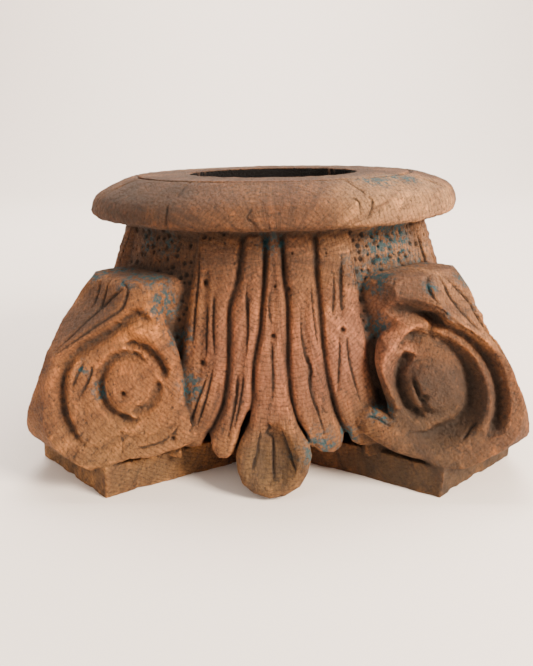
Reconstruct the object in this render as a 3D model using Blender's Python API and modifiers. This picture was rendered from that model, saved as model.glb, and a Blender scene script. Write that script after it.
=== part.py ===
"""A carved wooden capital, turned upside down to serve as a column base.

It is one block of hardwood. A round bearing disk with a blind socket is on top. Under it a bell
flares down to a square plate with hollowed sides. Each corner carries a horn with a scroll on both
faces, and each side carries two stems, three tongues and a drop leaf.
"""
from math import cos, pi, radians, sin, sqrt

import bmesh
import bpy
from mathutils import Matrix, Vector

# The block, in metres, with the front at -Y and the origin under the middle
HEIGHT = 0.240
FRONT_REACH = 0.2075

# The bearing disk and its socket
DISK_RADIUS = 0.173
DISK_THICKNESS = 0.036
DISK_SLOPE_WIDTH = 0.033
DISK_SLOPE_DROP = 0.0135
DISK_UNDERCUT = 0.012
RING_INSET = 0.041
RING_WIDTH = 0.005
RING_DEPTH = 0.003
SOCKET_RADIUS = 0.081
SOCKET_DEPTH = 0.140

# The bell under the disk
NECK_RADIUS = 0.145
NECK_COVE = 0.007
CARVING_RELIEF = 0.008

# The plate at the foot
PLATE_THICKNESS = 0.026
PLATE_CORNER_START = 0.132
PLATE_WAIST = 0.131
PLATE_SAG = 0.004

# The corner horns and their scrolls
HORN_REACH = 0.265
HORN_TOP = 0.163
HORN_LEAF_WIDTH = 0.088
EYE_OFFSET = 0.119
EYE_HEIGHT = 0.084
EYE_RADIUS = 0.018
EYE_RISE = 0.003
EYE_TOP_SHARE = 0.7
SCROLL_RADIUS = 0.056
SCROLL_DROP = 0.004
GROOVE_START_RADIUS = 0.060
GROOVE_END_RADIUS = 0.024
GROOVE_TURNS = 1.65
GROOVE_START_ANGLE = -70
GROOVE_HALF_WIDTH = 0.0065
GROOVE_TAPER = 0.3

# Stems, tongues and the drop leaf of one side
STEM_ROUNDING = 0.0245
TONGUE_ROUNDING = 0.0175
MIDRIB_ROUNDING = 0.0160
LEAF_WIDTH = 0.059
LEAF_TOP = 0.100
LEAF_CLEARANCE = 0.003

# The horn's rim from its inner foot, as shares of its reach and of its height
RIM_SHAPE = ((0.38, 0), (0.934, 0), (0.994, 0.13), (0.998, 0.26), (0.981, 0.40), (0.943, 0.56),
             (0.872, 0.69), (0.795, 0.80), (0.725, 0.92), (0.665, 0.99), (0.59, 1), (0.38, 0.93))

# A stem from the neck: degrees from the side's middle, share of the bell's height, share of rounding
STEM_FALL = ((18.6, 1.06, 0.9), (18.9, 0.75, 0.98), (18.8, 0.5, 1.0), (19.0, 0.34, 0.95))

# The same stem under the scroll: share of the way from the eye to the middle, height, rounding
STEM_BEND = ((0.37, 0.185, 0.72), (0.18, 0.1, 0.46), (-0.05, 0.075, 0.34))

# A tongue from the neck to its tip: degrees from the side's middle, share of height, of rounding
TONGUE_LINE = ((7.0, 1.06, 0.66), (7.7, 0.66, 0.84), (8.6, 0.40, 0.94), (10.3, 0.17, 1.0),
               (11.3, 0.075, 0.8), (11.7, 0.03, 0.35))

# The right edge of the drop leaf from its top, as shares of its half width and of its height
LEAF_EDGE = ((0.22, 0.98), (0.40, 0.76), (0.66, 0.55), (0.95, 0.32), (0.97, 0.17), (0.62, 0.035))

# The disk's edge from its shoulder to its underside, as shares of its undercut and of its drop
EDGE_ROUNDING = ((0.2, 0.3), (0, 0.55), (0.33, 0.86))

# How finely the round forms are cut, and how far joined forms run into each other
TURNED_STEPS = 64
SCROLL_SIDES = 32
GROOVE_STEPS = 28
GROOVE_RUN_IN_STEPS = 4
WELD = 0.00001
OVERLAP = 0.002
SIDES = 4

DISK_UNDER = HEIGHT - DISK_THICKNESS
NECK_HEIGHT = DISK_UNDER - NECK_COVE
BELL_DROP = NECK_HEIGHT - PLATE_THICKNESS
UNDERSIDE = PLATE_THICKNESS - OVERLAP
FLARE = (FRONT_REACH - NECK_RADIUS) / BELL_DROP
FACE_NORMAL = Vector((0, -1, FLARE)).normalized()


def reach_at(height):
    """Distance from the axis to the carved surface on the middle of a side."""
    return NECK_RADIUS + FLARE * (NECK_HEIGHT - height)


def on_bell(angle, height, sink):
    """A point under the bell's carved surface, at an angle from the middle of the front."""
    reach = reach_at(height) - sink
    return Vector((reach * sin(radians(angle)), -reach * cos(radians(angle)), height))


def on_face(across, height, sink=0):
    """A point under the flat leaning face of the front scrolls."""
    return Vector((across, sink - reach_at(height), height))


def new_collection(name):
    """A collection linked to the scene."""
    collection = bpy.data.collections.new(name)
    bpy.context.scene.collection.children.link(collection)
    return collection


def add_object(name, data, collection):
    """An object in a collection."""
    thing = bpy.data.objects.new(name, data)
    collection.objects.link(thing)
    return thing


def add_guide(name, data, collection):
    """An object that only shapes others and is never shown."""
    thing = add_object(name, data, collection)
    thing.hide_render = True
    thing.display_type = "WIRE"
    return thing


def plain_solid(thing):
    """The object remade in world space as a closed mesh, welded and with its faces outwards."""
    bpy.context.view_layer.update()
    graph = bpy.context.evaluated_depsgraph_get()
    mesh = bpy.data.meshes.new_from_object(thing.evaluated_get(graph))
    mesh.transform(thing.matrix_world)
    work = bmesh.new()
    work.from_mesh(mesh)
    bmesh.ops.remove_doubles(work, verts=work.verts, dist=WELD)
    bmesh.ops.recalc_face_normals(work, faces=work.faces)
    work.to_mesh(mesh)
    work.free()
    solid = add_guide(thing.name + "_solid", mesh, thing.users_collection[0])
    bpy.data.objects.remove(thing)
    return solid


def add_boolean(target, operation, tool):
    """One exact Boolean on a target, with an object or a whole collection as its tool."""
    step = target.modifiers.new(operation.title(), "BOOLEAN")
    step.operation = operation
    step.solver = "EXACT"
    if isinstance(tool, bpy.types.Collection):
        step.operand_type = "COLLECTION"
        step.collection = tool
    else:
        step.object = tool


def outline_prism(name, points, smooth, depth, collection, place=Matrix()):
    """A flat closed outline given thickness along its own Z, then put in its place."""
    curve = bpy.data.curves.new(name, "CURVE")
    curve.dimensions = "2D"
    curve.fill_mode = "BOTH"
    curve.extrude = depth / 2
    curve.resolution_u = 4
    spline = curve.splines.new("BEZIER")
    spline.bezier_points.add(len(points) - 1)
    spline.use_cyclic_u = True
    for knot, (x, y), is_smooth in zip(spline.bezier_points, points, smooth):
        knot.co = (x, y, 0)
        knot.handle_left_type = knot.handle_right_type = "AUTO" if is_smooth else "VECTOR"
    thing = add_guide(name, curve, collection)
    thing.matrix_world = place
    return plain_solid(thing)


def swept_bar(name, path, radii, collection, kind="BEZIER"):
    """A round bar of changing thickness along a path, with closed ends."""
    curve = bpy.data.curves.new(name, "CURVE")
    curve.dimensions = "3D"
    curve.bevel_depth = 1
    curve.bevel_resolution = 2
    curve.use_fill_caps = True
    curve.resolution_u = 2
    spline = curve.splines.new(kind)
    if kind == "BEZIER":
        spline.bezier_points.add(len(path) - 1)
        for knot, place, radius in zip(spline.bezier_points, path, radii):
            knot.co = place
            knot.handle_left_type = knot.handle_right_type = "AUTO"
            knot.radius = radius
    else:
        curve.bevel_resolution = 1
        spline.points.add(len(path) - 1)
        for point, place, radius in zip(spline.points, path, radii):
            point.co = (*place, 1)
            point.radius = radius
    return plain_solid(add_guide(name, curve, collection))


def round_prism(name, centre, radius, top_radius, depth, sides, collection):
    """A round plug square to the scroll face, reaching as far out of it as into it."""
    mesh = bpy.data.meshes.new(name)
    work = bmesh.new()
    place = Matrix.Translation(centre) @ FACE_NORMAL.to_track_quat("Z", "Y").to_matrix().to_4x4()
    bmesh.ops.create_cone(work, cap_ends=True, segments=sides, radius1=radius, radius2=top_radius,
                          depth=depth, matrix=place)
    work.to_mesh(mesh)
    work.free()
    return add_guide(name, mesh, collection)


def slab(name, length, width, height, collection):
    """An upright slab on the diagonal through the front right corner."""
    mesh = bpy.data.meshes.new(name)
    work = bmesh.new()
    place = Matrix.Rotation(-pi / 4, 4, "Z") @ Matrix.Translation((length / 2, 0, 0))
    bmesh.ops.create_cube(work, size=1, matrix=place @ Matrix.Diagonal((length, width, height, 1)))
    work.to_mesh(mesh)
    work.free()
    return add_guide(name, mesh, collection)


def repeat_on_sides(solid, collection):
    """The same solid on all four sides of the block, in the collection that joins or cuts it."""
    solid.users_collection[0].objects.unlink(solid)
    collection.objects.link(solid)
    for side in range(1, SIDES):
        copy = add_guide(f"{solid.name}_{side}", solid.data, collection)
        copy.matrix_world = Matrix.Rotation(side * pi / 2, 4, "Z") @ solid.matrix_world


def turned_core(collection):
    """The disk, its socket and the bell's ground, as one profile turned about the axis."""
    floor = HEIGHT - SOCKET_DEPTH
    ring = DISK_RADIUS - RING_INSET
    shoulder = ring + DISK_SLOPE_WIDTH
    shoulder_height = HEIGHT - DISK_SLOPE_DROP
    profile = [(0, floor), (SOCKET_RADIUS, floor), (SOCKET_RADIUS, HEIGHT),
               (ring - RING_WIDTH / 2, HEIGHT), (ring, HEIGHT - RING_DEPTH),
               (ring + RING_WIDTH / 2, HEIGHT), (shoulder, shoulder_height)]
    for inward, down in EDGE_ROUNDING:
        height = shoulder_height - down * (shoulder_height - DISK_UNDER)
        profile.append((DISK_RADIUS - inward * DISK_UNDERCUT, height))
    profile += [(DISK_RADIUS - DISK_UNDERCUT, DISK_UNDER), (NECK_RADIUS, DISK_UNDER),
                (NECK_RADIUS - CARVING_RELIEF, NECK_HEIGHT),
                (reach_at(UNDERSIDE) - CARVING_RELIEF, UNDERSIDE), (0, UNDERSIDE)]
    mesh = bpy.data.meshes.new("carved_block")
    edges = [(i, i + 1) for i in range(len(profile) - 1)]
    mesh.from_pydata([(x, 0, z) for x, z in profile], edges, [])
    core = add_object("carved_block", mesh, collection)
    turn = core.modifiers.new("Turned", "SCREW")
    turn.steps = turn.render_steps = TURNED_STEPS
    turn.use_merge_vertices = True
    turn.merge_threshold = WELD
    return core


def add_plate(collection):
    """The foot plate: four arms with cut corners, its sides hollowed towards the middle."""
    middle = (PLATE_CORNER_START / 2, -(FRONT_REACH + PLATE_WAIST) / 2 + PLATE_SAG)
    side = [(-PLATE_CORNER_START, -FRONT_REACH), (-middle[0], middle[1]), (0, -PLATE_WAIST), middle,
            (PLATE_CORNER_START, -FRONT_REACH)]
    points = [Matrix.Rotation(turn * pi / 2, 2) @ Vector(point) for turn in range(SIDES) for point in side]
    place = Matrix.Translation((0, 0, PLATE_THICKNESS / 2))
    outline_prism("plate", points, [False] * len(points), PLATE_THICKNESS, collection, place)


def leaning_faces(collection):
    """The block's four flat leaning sides, which hold the scrolls and the drop leaves."""
    mesh = bpy.data.meshes.new("leaning_faces")
    work = bmesh.new()
    place = Matrix.Translation((0, 0, DISK_UNDER / 2)) @ Matrix.Rotation(pi / 4, 4, "Z")
    bmesh.ops.create_cone(work, cap_ends=True, segments=SIDES, radius1=reach_at(0) * sqrt(2),
                          radius2=reach_at(DISK_UNDER) * sqrt(2), depth=DISK_UNDER, matrix=place)
    work.to_mesh(mesh)
    work.free()
    return add_guide("leaning_faces", mesh, collection)


def add_horns(faces, shaping, collection):
    """A horn at each corner: a rim that bellies out and ends in a leaf, between two round scrolls."""
    smooth = [1 < i < len(RIM_SHAPE) - 2 for i in range(len(RIM_SHAPE))]
    points = [(out * HORN_REACH, UNDERSIDE + up * (HORN_TOP - UNDERSIDE)) for out, up in RIM_SHAPE]
    upright = Matrix.Rotation(-pi / 4, 4, "Z") @ Matrix.Rotation(pi / 2, 4, "X")
    horn = outline_prism("horn", points, smooth, 4 * SCROLL_RADIUS, shaping, upright)
    leaf = slab("horn_leaf", 2 * HORN_REACH, HORN_LEAF_WIDTH, 2 * HORN_TOP, shaping)
    across_corner = Matrix(((0, -1, 0, 0), (-1, 0, 0, 0), (0, 0, 1, 0), (0, 0, 0, 1)))
    centre = on_face(EYE_OFFSET, EYE_HEIGHT - SCROLL_DROP)
    scroll = round_prism("scroll", centre, SCROLL_RADIUS, SCROLL_RADIUS, 3 * SCROLL_RADIUS,
                         SCROLL_SIDES, shaping)
    other = add_guide("other_scroll", scroll.data.copy(), shaping)
    other.matrix_world = across_corner
    add_boolean(leaf, "UNION", scroll)
    add_boolean(leaf, "UNION", plain_solid(other))
    add_boolean(horn, "INTERSECT", leaf)
    add_boolean(horn, "INTERSECT", faces)
    repeat_on_sides(plain_solid(horn), collection)


def add_eye(side, shaping, collection):
    """The raised eye in the middle of a scroll."""
    eye = round_prism(f"eye_{side}", on_face(side * EYE_OFFSET, EYE_HEIGHT), EYE_RADIUS,
                      EYE_RADIUS * EYE_TOP_SHARE, 2 * EYE_RISE, SCROLL_SIDES // 2, shaping)
    repeat_on_sides(eye, collection)


def add_scroll_groove(side, shaping, collection):
    """The groove that winds in from the rim of a scroll towards its eye, growing from nothing."""
    path, radii = [], []
    slope = Vector((0, FLARE, 1)).normalized()
    for step in range(GROOVE_STEPS + 1):
        share = step / GROOVE_STEPS
        angle = radians(GROOVE_START_ANGLE) + share * GROOVE_TURNS * 2 * pi
        radius = GROOVE_START_RADIUS + share * (GROOVE_END_RADIUS - GROOVE_START_RADIUS)
        around = Vector((side * cos(angle), 0, 0)) + slope * sin(angle)
        path.append(on_face(side * EYE_OFFSET, EYE_HEIGHT) + around * radius)
        run_in = min(1, (step + 1) / GROOVE_RUN_IN_STEPS)
        radii.append(GROOVE_HALF_WIDTH * run_in * (1 - GROOVE_TAPER * share))
    repeat_on_sides(swept_bar(f"groove_{side}", path, radii, shaping, "POLY"), collection)


def add_stem(side, shaping, collection):
    """A stem that falls from the neck and bends outwards under the scroll."""
    path = [on_bell(side * angle, PLATE_THICKNESS + up * BELL_DROP, STEM_ROUNDING * width)
            for angle, up, width in STEM_FALL]
    path += [on_face(side * EYE_OFFSET * (1 - back), PLATE_THICKNESS + up * BELL_DROP,
                     STEM_ROUNDING * width) for back, up, width in STEM_BEND]
    radii = [STEM_ROUNDING * width for _, _, width in STEM_FALL + STEM_BEND]
    repeat_on_sides(swept_bar(f"stem_{side}", path, radii, shaping), collection)


def add_tongue(side, shaping, collection):
    """A tongue on the bell, from the neck to its rounded tip over the plate."""
    rounding = TONGUE_ROUNDING if side else MIDRIB_ROUNDING
    path = [on_bell(side * angle, PLATE_THICKNESS + up * BELL_DROP, rounding * width)
            for angle, up, width in TONGUE_LINE]
    radii = [rounding * width for _, _, width in TONGUE_LINE]
    repeat_on_sides(swept_bar(f"tongue_{side}", path, radii, shaping), collection)


def add_drop_leaf(faces, shaping, collection):
    """The drop leaf in the middle of a side, standing forward from the plate's waist."""
    right = [(out * LEAF_WIDTH / 2, LEAF_CLEARANCE + up * (LEAF_TOP - LEAF_CLEARANCE))
             for out, up in LEAF_EDGE]
    points = right + [(0, LEAF_CLEARANCE)] + [(-x, z) for x, z in reversed(right)]
    smooth = [0 < i < len(points) - 1 for i in range(len(points))]
    depth = reach_at(0) - PLATE_WAIST + 2 * OVERLAP
    upright = Matrix.Translation((0, -reach_at(0) + depth / 2, 0)) @ Matrix.Rotation(pi / 2, 4, "X")
    leaf = outline_prism("drop_leaf", points, smooth, depth, shaping, upright)
    add_boolean(leaf, "INTERSECT", faces)
    repeat_on_sides(plain_solid(leaf), collection)


def aged_hardwood():
    """Dry reddish brown hardwood with a worn, unvarnished surface."""
    material = bpy.data.materials.new("aged_hardwood")
    material.use_nodes = True
    shader = material.node_tree.nodes["Principled BSDF"]
    shader.inputs["Base Color"].default_value = (0.23, 0.11, 0.06, 1)
    shader.inputs["Roughness"].default_value = 0.75
    shader.inputs["Metallic"].default_value = 0
    return material


for leftover in list(bpy.data.objects):
    bpy.data.objects.remove(leftover)

parts = new_collection("column_base")
additions = new_collection("joined_forms")
grooves = new_collection("cut_grooves")
shapers = new_collection("shaping_forms")

block = turned_core(parts)
flat_sides = leaning_faces(shapers)
add_plate(additions)
add_horns(flat_sides, shapers, additions)
add_drop_leaf(flat_sides, shapers, additions)
for scroll_side in (-1, 1):
    add_eye(scroll_side, shapers, additions)
    add_scroll_groove(scroll_side, shapers, grooves)
    add_stem(scroll_side, shapers, additions)
for tongue_side in (-1, 0, 1):
    add_tongue(tongue_side, shapers, additions)
add_boolean(block, "UNION", additions)
add_boolean(block, "DIFFERENCE", grooves)
block.data.materials.append(aged_hardwood())
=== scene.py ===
"""The looks of a carved wooden column base: one block of old hardwood, dry, worn and once painted."""

import bpy
import numpy as np
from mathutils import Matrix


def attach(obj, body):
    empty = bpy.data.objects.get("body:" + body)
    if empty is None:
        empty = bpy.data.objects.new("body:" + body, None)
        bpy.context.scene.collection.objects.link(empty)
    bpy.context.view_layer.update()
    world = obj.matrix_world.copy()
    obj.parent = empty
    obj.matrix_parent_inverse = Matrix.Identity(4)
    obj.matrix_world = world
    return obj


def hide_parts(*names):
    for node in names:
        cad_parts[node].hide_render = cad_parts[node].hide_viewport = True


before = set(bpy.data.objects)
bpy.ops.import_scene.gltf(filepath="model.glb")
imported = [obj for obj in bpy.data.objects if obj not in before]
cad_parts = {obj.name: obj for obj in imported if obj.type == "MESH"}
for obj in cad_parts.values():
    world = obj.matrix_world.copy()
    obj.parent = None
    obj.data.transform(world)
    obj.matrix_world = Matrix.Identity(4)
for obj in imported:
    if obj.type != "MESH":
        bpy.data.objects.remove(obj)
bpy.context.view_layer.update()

import openvdb
from mathutils import Matrix, Vector

# The turned part of the block: the bearing disk with its scribed ring and its blind socket, and
# the bell under it. It is cut on a lathe, so it is one profile in millimetres from the axis.
# Under the tongues' lower edge it is drawn in, where the foot of the bell is cut away.
GRID_PITCH = 1.25
CHART_PITCH = 0.5
BELL_TOP, BELL_NECK, BELL_FLARE = 197.0, 145.0, 0.3655
DISK_LEAN = 2.6
PROFILE = [(0, 100), (81, 100), (81, 240), (129.5, 240), (132, 236.8), (134.5, 239.6), (143, 237.5),
           (156, 232.9), (166, 228.2), (170, 225), (173.2, 219), (174.3, 213), (173, 208.4),
           (169, 205.3), (161, 204.4), (146.5, 204.2), (141.5, 200), (138.5, 195),
           (182, 75), (160, 44), (124, 25), (0, 25)]


def reach_at(z):
    """Millimetres from the axis to the carved surface on the middle of a side."""
    return BELL_NECK + BELL_FLARE * (BELL_TOP - z)


def smooth_path(points, steps=5):
    """A path rounded through its points."""
    p = np.array(points, float)
    p = np.vstack([2 * p[0] - p[1], p, 2 * p[-1] - p[-2]])
    t = np.arange(steps)[:, None] / steps
    runs = []
    for a, b, c, d in zip(p, p[1:], p[2:], p[3:]):
        runs.append(0.5 * (2 * b + (c - a) * t + (2 * a - 5 * b + 4 * c - d) * t**2
                           + (3 * b - a - 3 * c + d) * t**3))
    return np.vstack(runs + [p[-2:-1]])


def path_distance(path, x, z):
    """Distance of points from a path, and where along it, from 0 to 1, each one is nearest."""
    best = np.full(x.shape, 1e9, np.float32)
    along = np.zeros(x.shape, np.float32)
    last = len(path) - 1
    for i, ((ax, az), (bx, bz)) in enumerate(zip(path, path[1:])):
        ux, uz = bx - ax, bz - az
        t = np.clip(((x - ax) * ux + (z - az) * uz) / (ux * ux + uz * uz + 1e-9), 0, 1)
        d = (x - ax - t * ux) ** 2 + (z - az - t * uz) ** 2
        near = d < best
        best[near] = d[near]
        along[near] = ((i + t) / last)[near]
    return np.sqrt(best), along


def outline_distance(points, x, z):
    """Signed distance from a closed outline, less than zero inside."""
    ring = list(points) + [points[0]]
    inside = np.zeros(x.shape, bool)
    for (ax, az), (bx, bz) in zip(ring, ring[1:]):
        if az != bz:
            crosses = (az > z) != (bz > z)
            inside ^= crosses & (x < ax + (z - az) * (bx - ax) / (bz - az))
    away = path_distance(np.array(ring, float), x, z)[0]
    return np.where(inside, -away, away)


class Chart:
    """A flat drawing of heights or distances in millimetres, read off at any point."""

    def __init__(self, low, high, value=0.0):
        self.low = np.array(low, float)
        axes = [np.arange(a, b + CHART_PITCH, CHART_PITCH) for a, b in zip(low, high)]
        self.x, self.z = (g.astype(np.float32) for g in np.meshgrid(*axes, indexing="ij"))
        self.value = np.full(self.x.shape, value, np.float32)

    def near(self, path, margin):
        """The part of the drawing around a path."""
        low, high = np.min(path, 0) - margin, np.max(path, 0) + margin
        a = np.clip((low - self.low) / CHART_PITCH, 0, None).astype(int)
        b = np.clip((high - self.low) / CHART_PITCH, 0, None).astype(int) + 2
        return slice(a[0], b[0]), slice(a[1], b[1])

    def stroke(self, points, half_width, height, taper=0.0):
        """A rounded groove or ridge along a path, thinning out at its ends."""
        path = smooth_path(points) if len(points) > 1 else np.array(points * 2, float)
        part = self.near(path, half_width + 1)
        away, along = path_distance(path, self.x[part], self.z[part])
        ends = np.minimum(1, np.minimum(along, 1 - along) / taper) if taper else 1.0
        share = np.clip(1 - away / (half_width * np.maximum(ends, 0.15)), 0, 1)
        self.value[part] += height * ends * share * share * (3 - 2 * share)

    def read(self, x, z):
        """The drawing's value at points, between its grid lines."""
        i = np.clip((x - self.low[0]) / CHART_PITCH, 0, self.value.shape[0] - 1.001)
        j = np.clip((z - self.low[1]) / CHART_PITCH, 0, self.value.shape[1] - 1.001)
        a, b = i.astype(np.int32), j.astype(np.int32)
        s, t = i - a, j - b
        v = self.value
        return ((v[a, b] * (1 - s) + v[a + 1, b] * s) * (1 - t)
                + (v[a, b + 1] * (1 - s) + v[a + 1, b + 1] * s) * t)


turned_profile = Chart((0, -8), (228, 248))
turned_profile.value = outline_distance(PROFILE, turned_profile.x, turned_profile.z).astype(np.float32)

# The foot plate: four arms with cut corners, sawn square, its sides hollowed to a waist.
PLATE_THICKNESS, PLATE_CORNER, PLATE_WAIST, FRONT_REACH = 26.0, 132.0, 131.0, 207.5
PLATE_OUTLINE = []
for turn in range(4):
    c, s = ((1, 0), (0, 1), (-1, 0), (0, -1))[turn]
    for px, py in ((-PLATE_CORNER, -FRONT_REACH), (-66, -165.25), (0, -PLATE_WAIST), (66, -165.25),
                   (PLATE_CORNER, -FRONT_REACH)):
        PLATE_OUTLINE.append((px * c - py * s, px * s + py * c))
plate_outline = Chart((-224, -224), (224, 224))
plate_outline.value = outline_distance(PLATE_OUTLINE, plate_outline.x, plate_outline.z).astype(np.float32)

# The carving on the bell: two stems and three tongues on each side, parted by deep grooves.
# The grooves are paths across and up the side, in millimetres, and panels lie lower on both sides.
PANEL_SINK, TONGUE_RISE, GROOVE_DEEPENING = -8.0, 8.0, -3.5
GROOVES = [[(-66, 210), (-62, 197), (-66, 170), (-70, 147), (-72, 124), (-75, 105), (-80, 86), (-92, 60),
            (-100, 40), (-110, 20)],
           [(-20, 210), (-22, 198), (-27, 163), (-33, 143), (-33, 119), (-34, 97), (-39, 70), (-48, 52),
            (-54, 42), (-58, 20)],
           [(-5, 210), (-5, 198), (-7, 147), (-8, 125), (-13, 99), (-15, 71), (-20, 52),
            (-29, 37), (-32, 20)],
           [(6, 210), (7, 198), (9, 168), (13, 147), (14, 125), (14, 106), (15, 79), (17, 60), (24, 44),
            (30, 31), (33, 20)],
           [(35, 210), (35, 197), (35, 167), (39, 132), (45, 90), (51, 62), (58, 44), (62, 20)],
           [(64, 210), (66, 195), (69, 175), (73, 145), (78, 115), (80, 92), (88, 65), (100, 45),
            (112, 20)]]
LOWER_EDGE = [(-160, 30), (-66, 34), (-58, 36), (-53, 45), (-51, 44), (-48, 34), (-43, 29), (-37, 29),
              (-31, 33), (-29, 40), (-26, 52), (-20, 64), (16, 64), (27, 48), (30, 38), (33, 38),
              (38, 34),
              (48, 32), (55, 36), (57, 43), (60, 45), (63, 38), (70, 34), (160, 30)]
BELL_STROKES = [  # path, half width, height: worn hollows, second ridges and the pits' rough ground
    ([(-51, 190), (-53, 150), (-56, 110), (-60, 80)], 5, -1.6),
    ([(-40, 150), (-42, 110), (-47, 80)], 5, 1.2),
    ([(0, 190), (1, 160), (2, 130), (0, 100)], 5, -2.0),
    ([(26, 175), (27, 130), (31, 95), (38, 60)], 4.5, -2.2),
    ([(-16, 175), (-20, 130), (-24, 95), (-34, 58)], 4.5, -2.0),
    ([(52, 185), (55, 150), (57, 120)], 5, -1.5)]
PANEL_PITS = [  # across, up, radius
    (-112, 188, 2), (-100, 180, 2), (-88, 183, 2.5), (-76, 178, 4), (-75, 173, 2.5), (-110, 170, 2.5),
    (-88, 166, 4.5), (-81, 158, 3), (-93, 195, 2), (-74, 193, 4), (-72, 156, 3), (-88, 144, 4),
    (-83, 137, 3.5), (-73, 136, 3.5), (-77, 118, 3), (-71, 120, 4), (-97, 190, 2), (-84, 173, 2.5),
    (-103, 172, 2.5),
    (90, 191, 2.5), (88, 184, 2.5), (97, 186, 4), (110, 181, 4.5), (94, 176, 3), (102, 174, 2.5),
    (118, 168, 3.5), (108, 170, 3), (101, 168, 3), (92, 165, 3), (81, 165, 4), (84, 169, 3.5),
    (75, 185, 3.5), (74, 192, 2.5),
    (108, 163, 2.5), (98, 158, 3.5), (91, 153, 3.5), (82, 155, 2.5), (82, 148, 2.5), (84, 135, 3.5),
    (86, 123, 4), (90, 115, 3), (81, 113, 2.5)]
PUNCHES = [(-55, 100, 3), (57, 124, 3), (-53, 161, 3), (3, 122, 2.5), (14, 157, 2)]
PIT_SINK, PUNCH_SINK, MARK_EDGE = -5.5, -5.0, 0.8
TONGUE_SQUARENESS, TONGUE_END, GROOVE_HALF_WIDTH = 3.2, 14, 4.2
VOID_HALF_WIDTH, VOID_RISE, VOID_SLOPE = 75, 10, 6.5

bell_relief = Chart((-170, 10), (170, 215), PANEL_SINK)
edges = [np.interp(bell_relief.z, *zip(*sorted((z, x) for x, z in line))) for line in GROOVES]
low_edge = np.interp(bell_relief.x, *zip(*LOWER_EDGE))
for left, right in zip(edges, edges[1:]):
    across = np.clip(np.abs(2 * (bell_relief.x - left) / (right - left) - 1), 0, 1)
    end = np.clip((bell_relief.z - low_edge) / TONGUE_END, 0, 1)
    rise = TONGUE_RISE * np.sqrt(1 - across**TONGUE_SQUARENESS) * np.sqrt(1 - (1 - end) ** 2)
    inside = across < 1
    bell_relief.value[inside] = (PANEL_SINK + rise)[inside]
for points in GROOVES:
    bell_relief.stroke(points, GROOVE_HALF_WIDTH, GROOVE_DEEPENING)
for points, half_width, height in BELL_STROKES:
    bell_relief.stroke(points, half_width, height, taper=0.25)
for pits, sink in ((PANEL_PITS, PIT_SINK), (PUNCHES, PUNCH_SINK)):
    for across, up, radius in pits:
        bell_relief.stroke([(across, up)], radius + MARK_EDGE, sink)
below = np.clip(low_edge - bell_relief.z, 0, VOID_RISE)
bell_relief.value -= np.where(np.abs(bell_relief.x) < VOID_HALF_WIDTH, below * VOID_SLOPE, 0)

# The horns and their scrolls: each corner's horn is sawn to a rim seen along the diagonal, then
# each leaning face is carved with a scroll. The left one is shallow and worn, the right one deep.
LEFT_RIM = [(100, 22), (246, 22), (256, 30), (263.5, 40), (266, 50), (266, 60), (264, 68), (261, 78),
            (257, 89), (253, 98), (247, 109), (239, 117), (229, 125), (218, 133), (209, 139),
            (202, 145), (197, 153),
            (194, 160), (187, 164), (172, 165.5), (156, 165), (128, 160), (100, 154)]
RIGHT_RIM = [(100, 22), (247, 22), (259, 30), (268, 38), (273, 46), (275, 54), (274, 66), (271.5, 76),
             (268, 84), (264, 92), (259, 100), (253, 108), (246, 114), (237, 120), (228, 127),
             (217, 136),
             (208, 147), (202, 157), (192, 165), (172, 166.5), (156, 165), (128, 160), (100, 154)]
RIGHT_BULGE = ((26, 0), (50, 3), (65, 5.5), (80, 8), (100, 11), (125, 10.5), (139, 7.5), (147, 4.7),
               (162, 0),
               (172, -14))
LEFT_BULGE = ((26, 0), (50, 6), (66, 7.5), (100, 6.5), (142, 7), (150, 4), (157, -2.4),
              (165, -11.5), (172, -23))
FRONT_BULGE = ((26, 0), (150, 0), (172, -6))
BULGES = (FRONT_BULGE, RIGHT_BULGE, LEFT_BULGE, LEFT_BULGE)
WALL_LEAN = 0.22
SCROLL_ROLL, RIM_ROLL = ((60, 9), (110, 12), (150, 26)), ((120, 4), (165, 16))
HORN_HALF_WIDTH, SCROLL_BACK = 44.0, 62.0
RIGHT_SCROLL = [(100, 172), (111, 179), (240, 179), (240, 22), (130, 22), (116, 29), (99, 34), (84, 40),
                (69, 45), (58, 46), (60, 62), (73, 66), (84, 64), (91, 61), (87, 70), (84, 80),
                (81, 90),
                (79, 101), (80, 111), (84, 120), (92, 127), (98, 136), (95, 148), (96, 162)]
LEFT_SCROLL = [(-96, 171), (-91, 164), (-88, 157), (-86, 143), (-82, 128), (-75, 117), (-71, 106),
               (-69, 95), (-67, 84), (-67, 69), (-62, 58), (-56, 50), (-57, 42), (-68, 38), (-80, 35),
               (-96, 31), (-111, 30), (-123, 26), (-150, 22), (-240, 22), (-240, 179), (-109, 179)]
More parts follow.
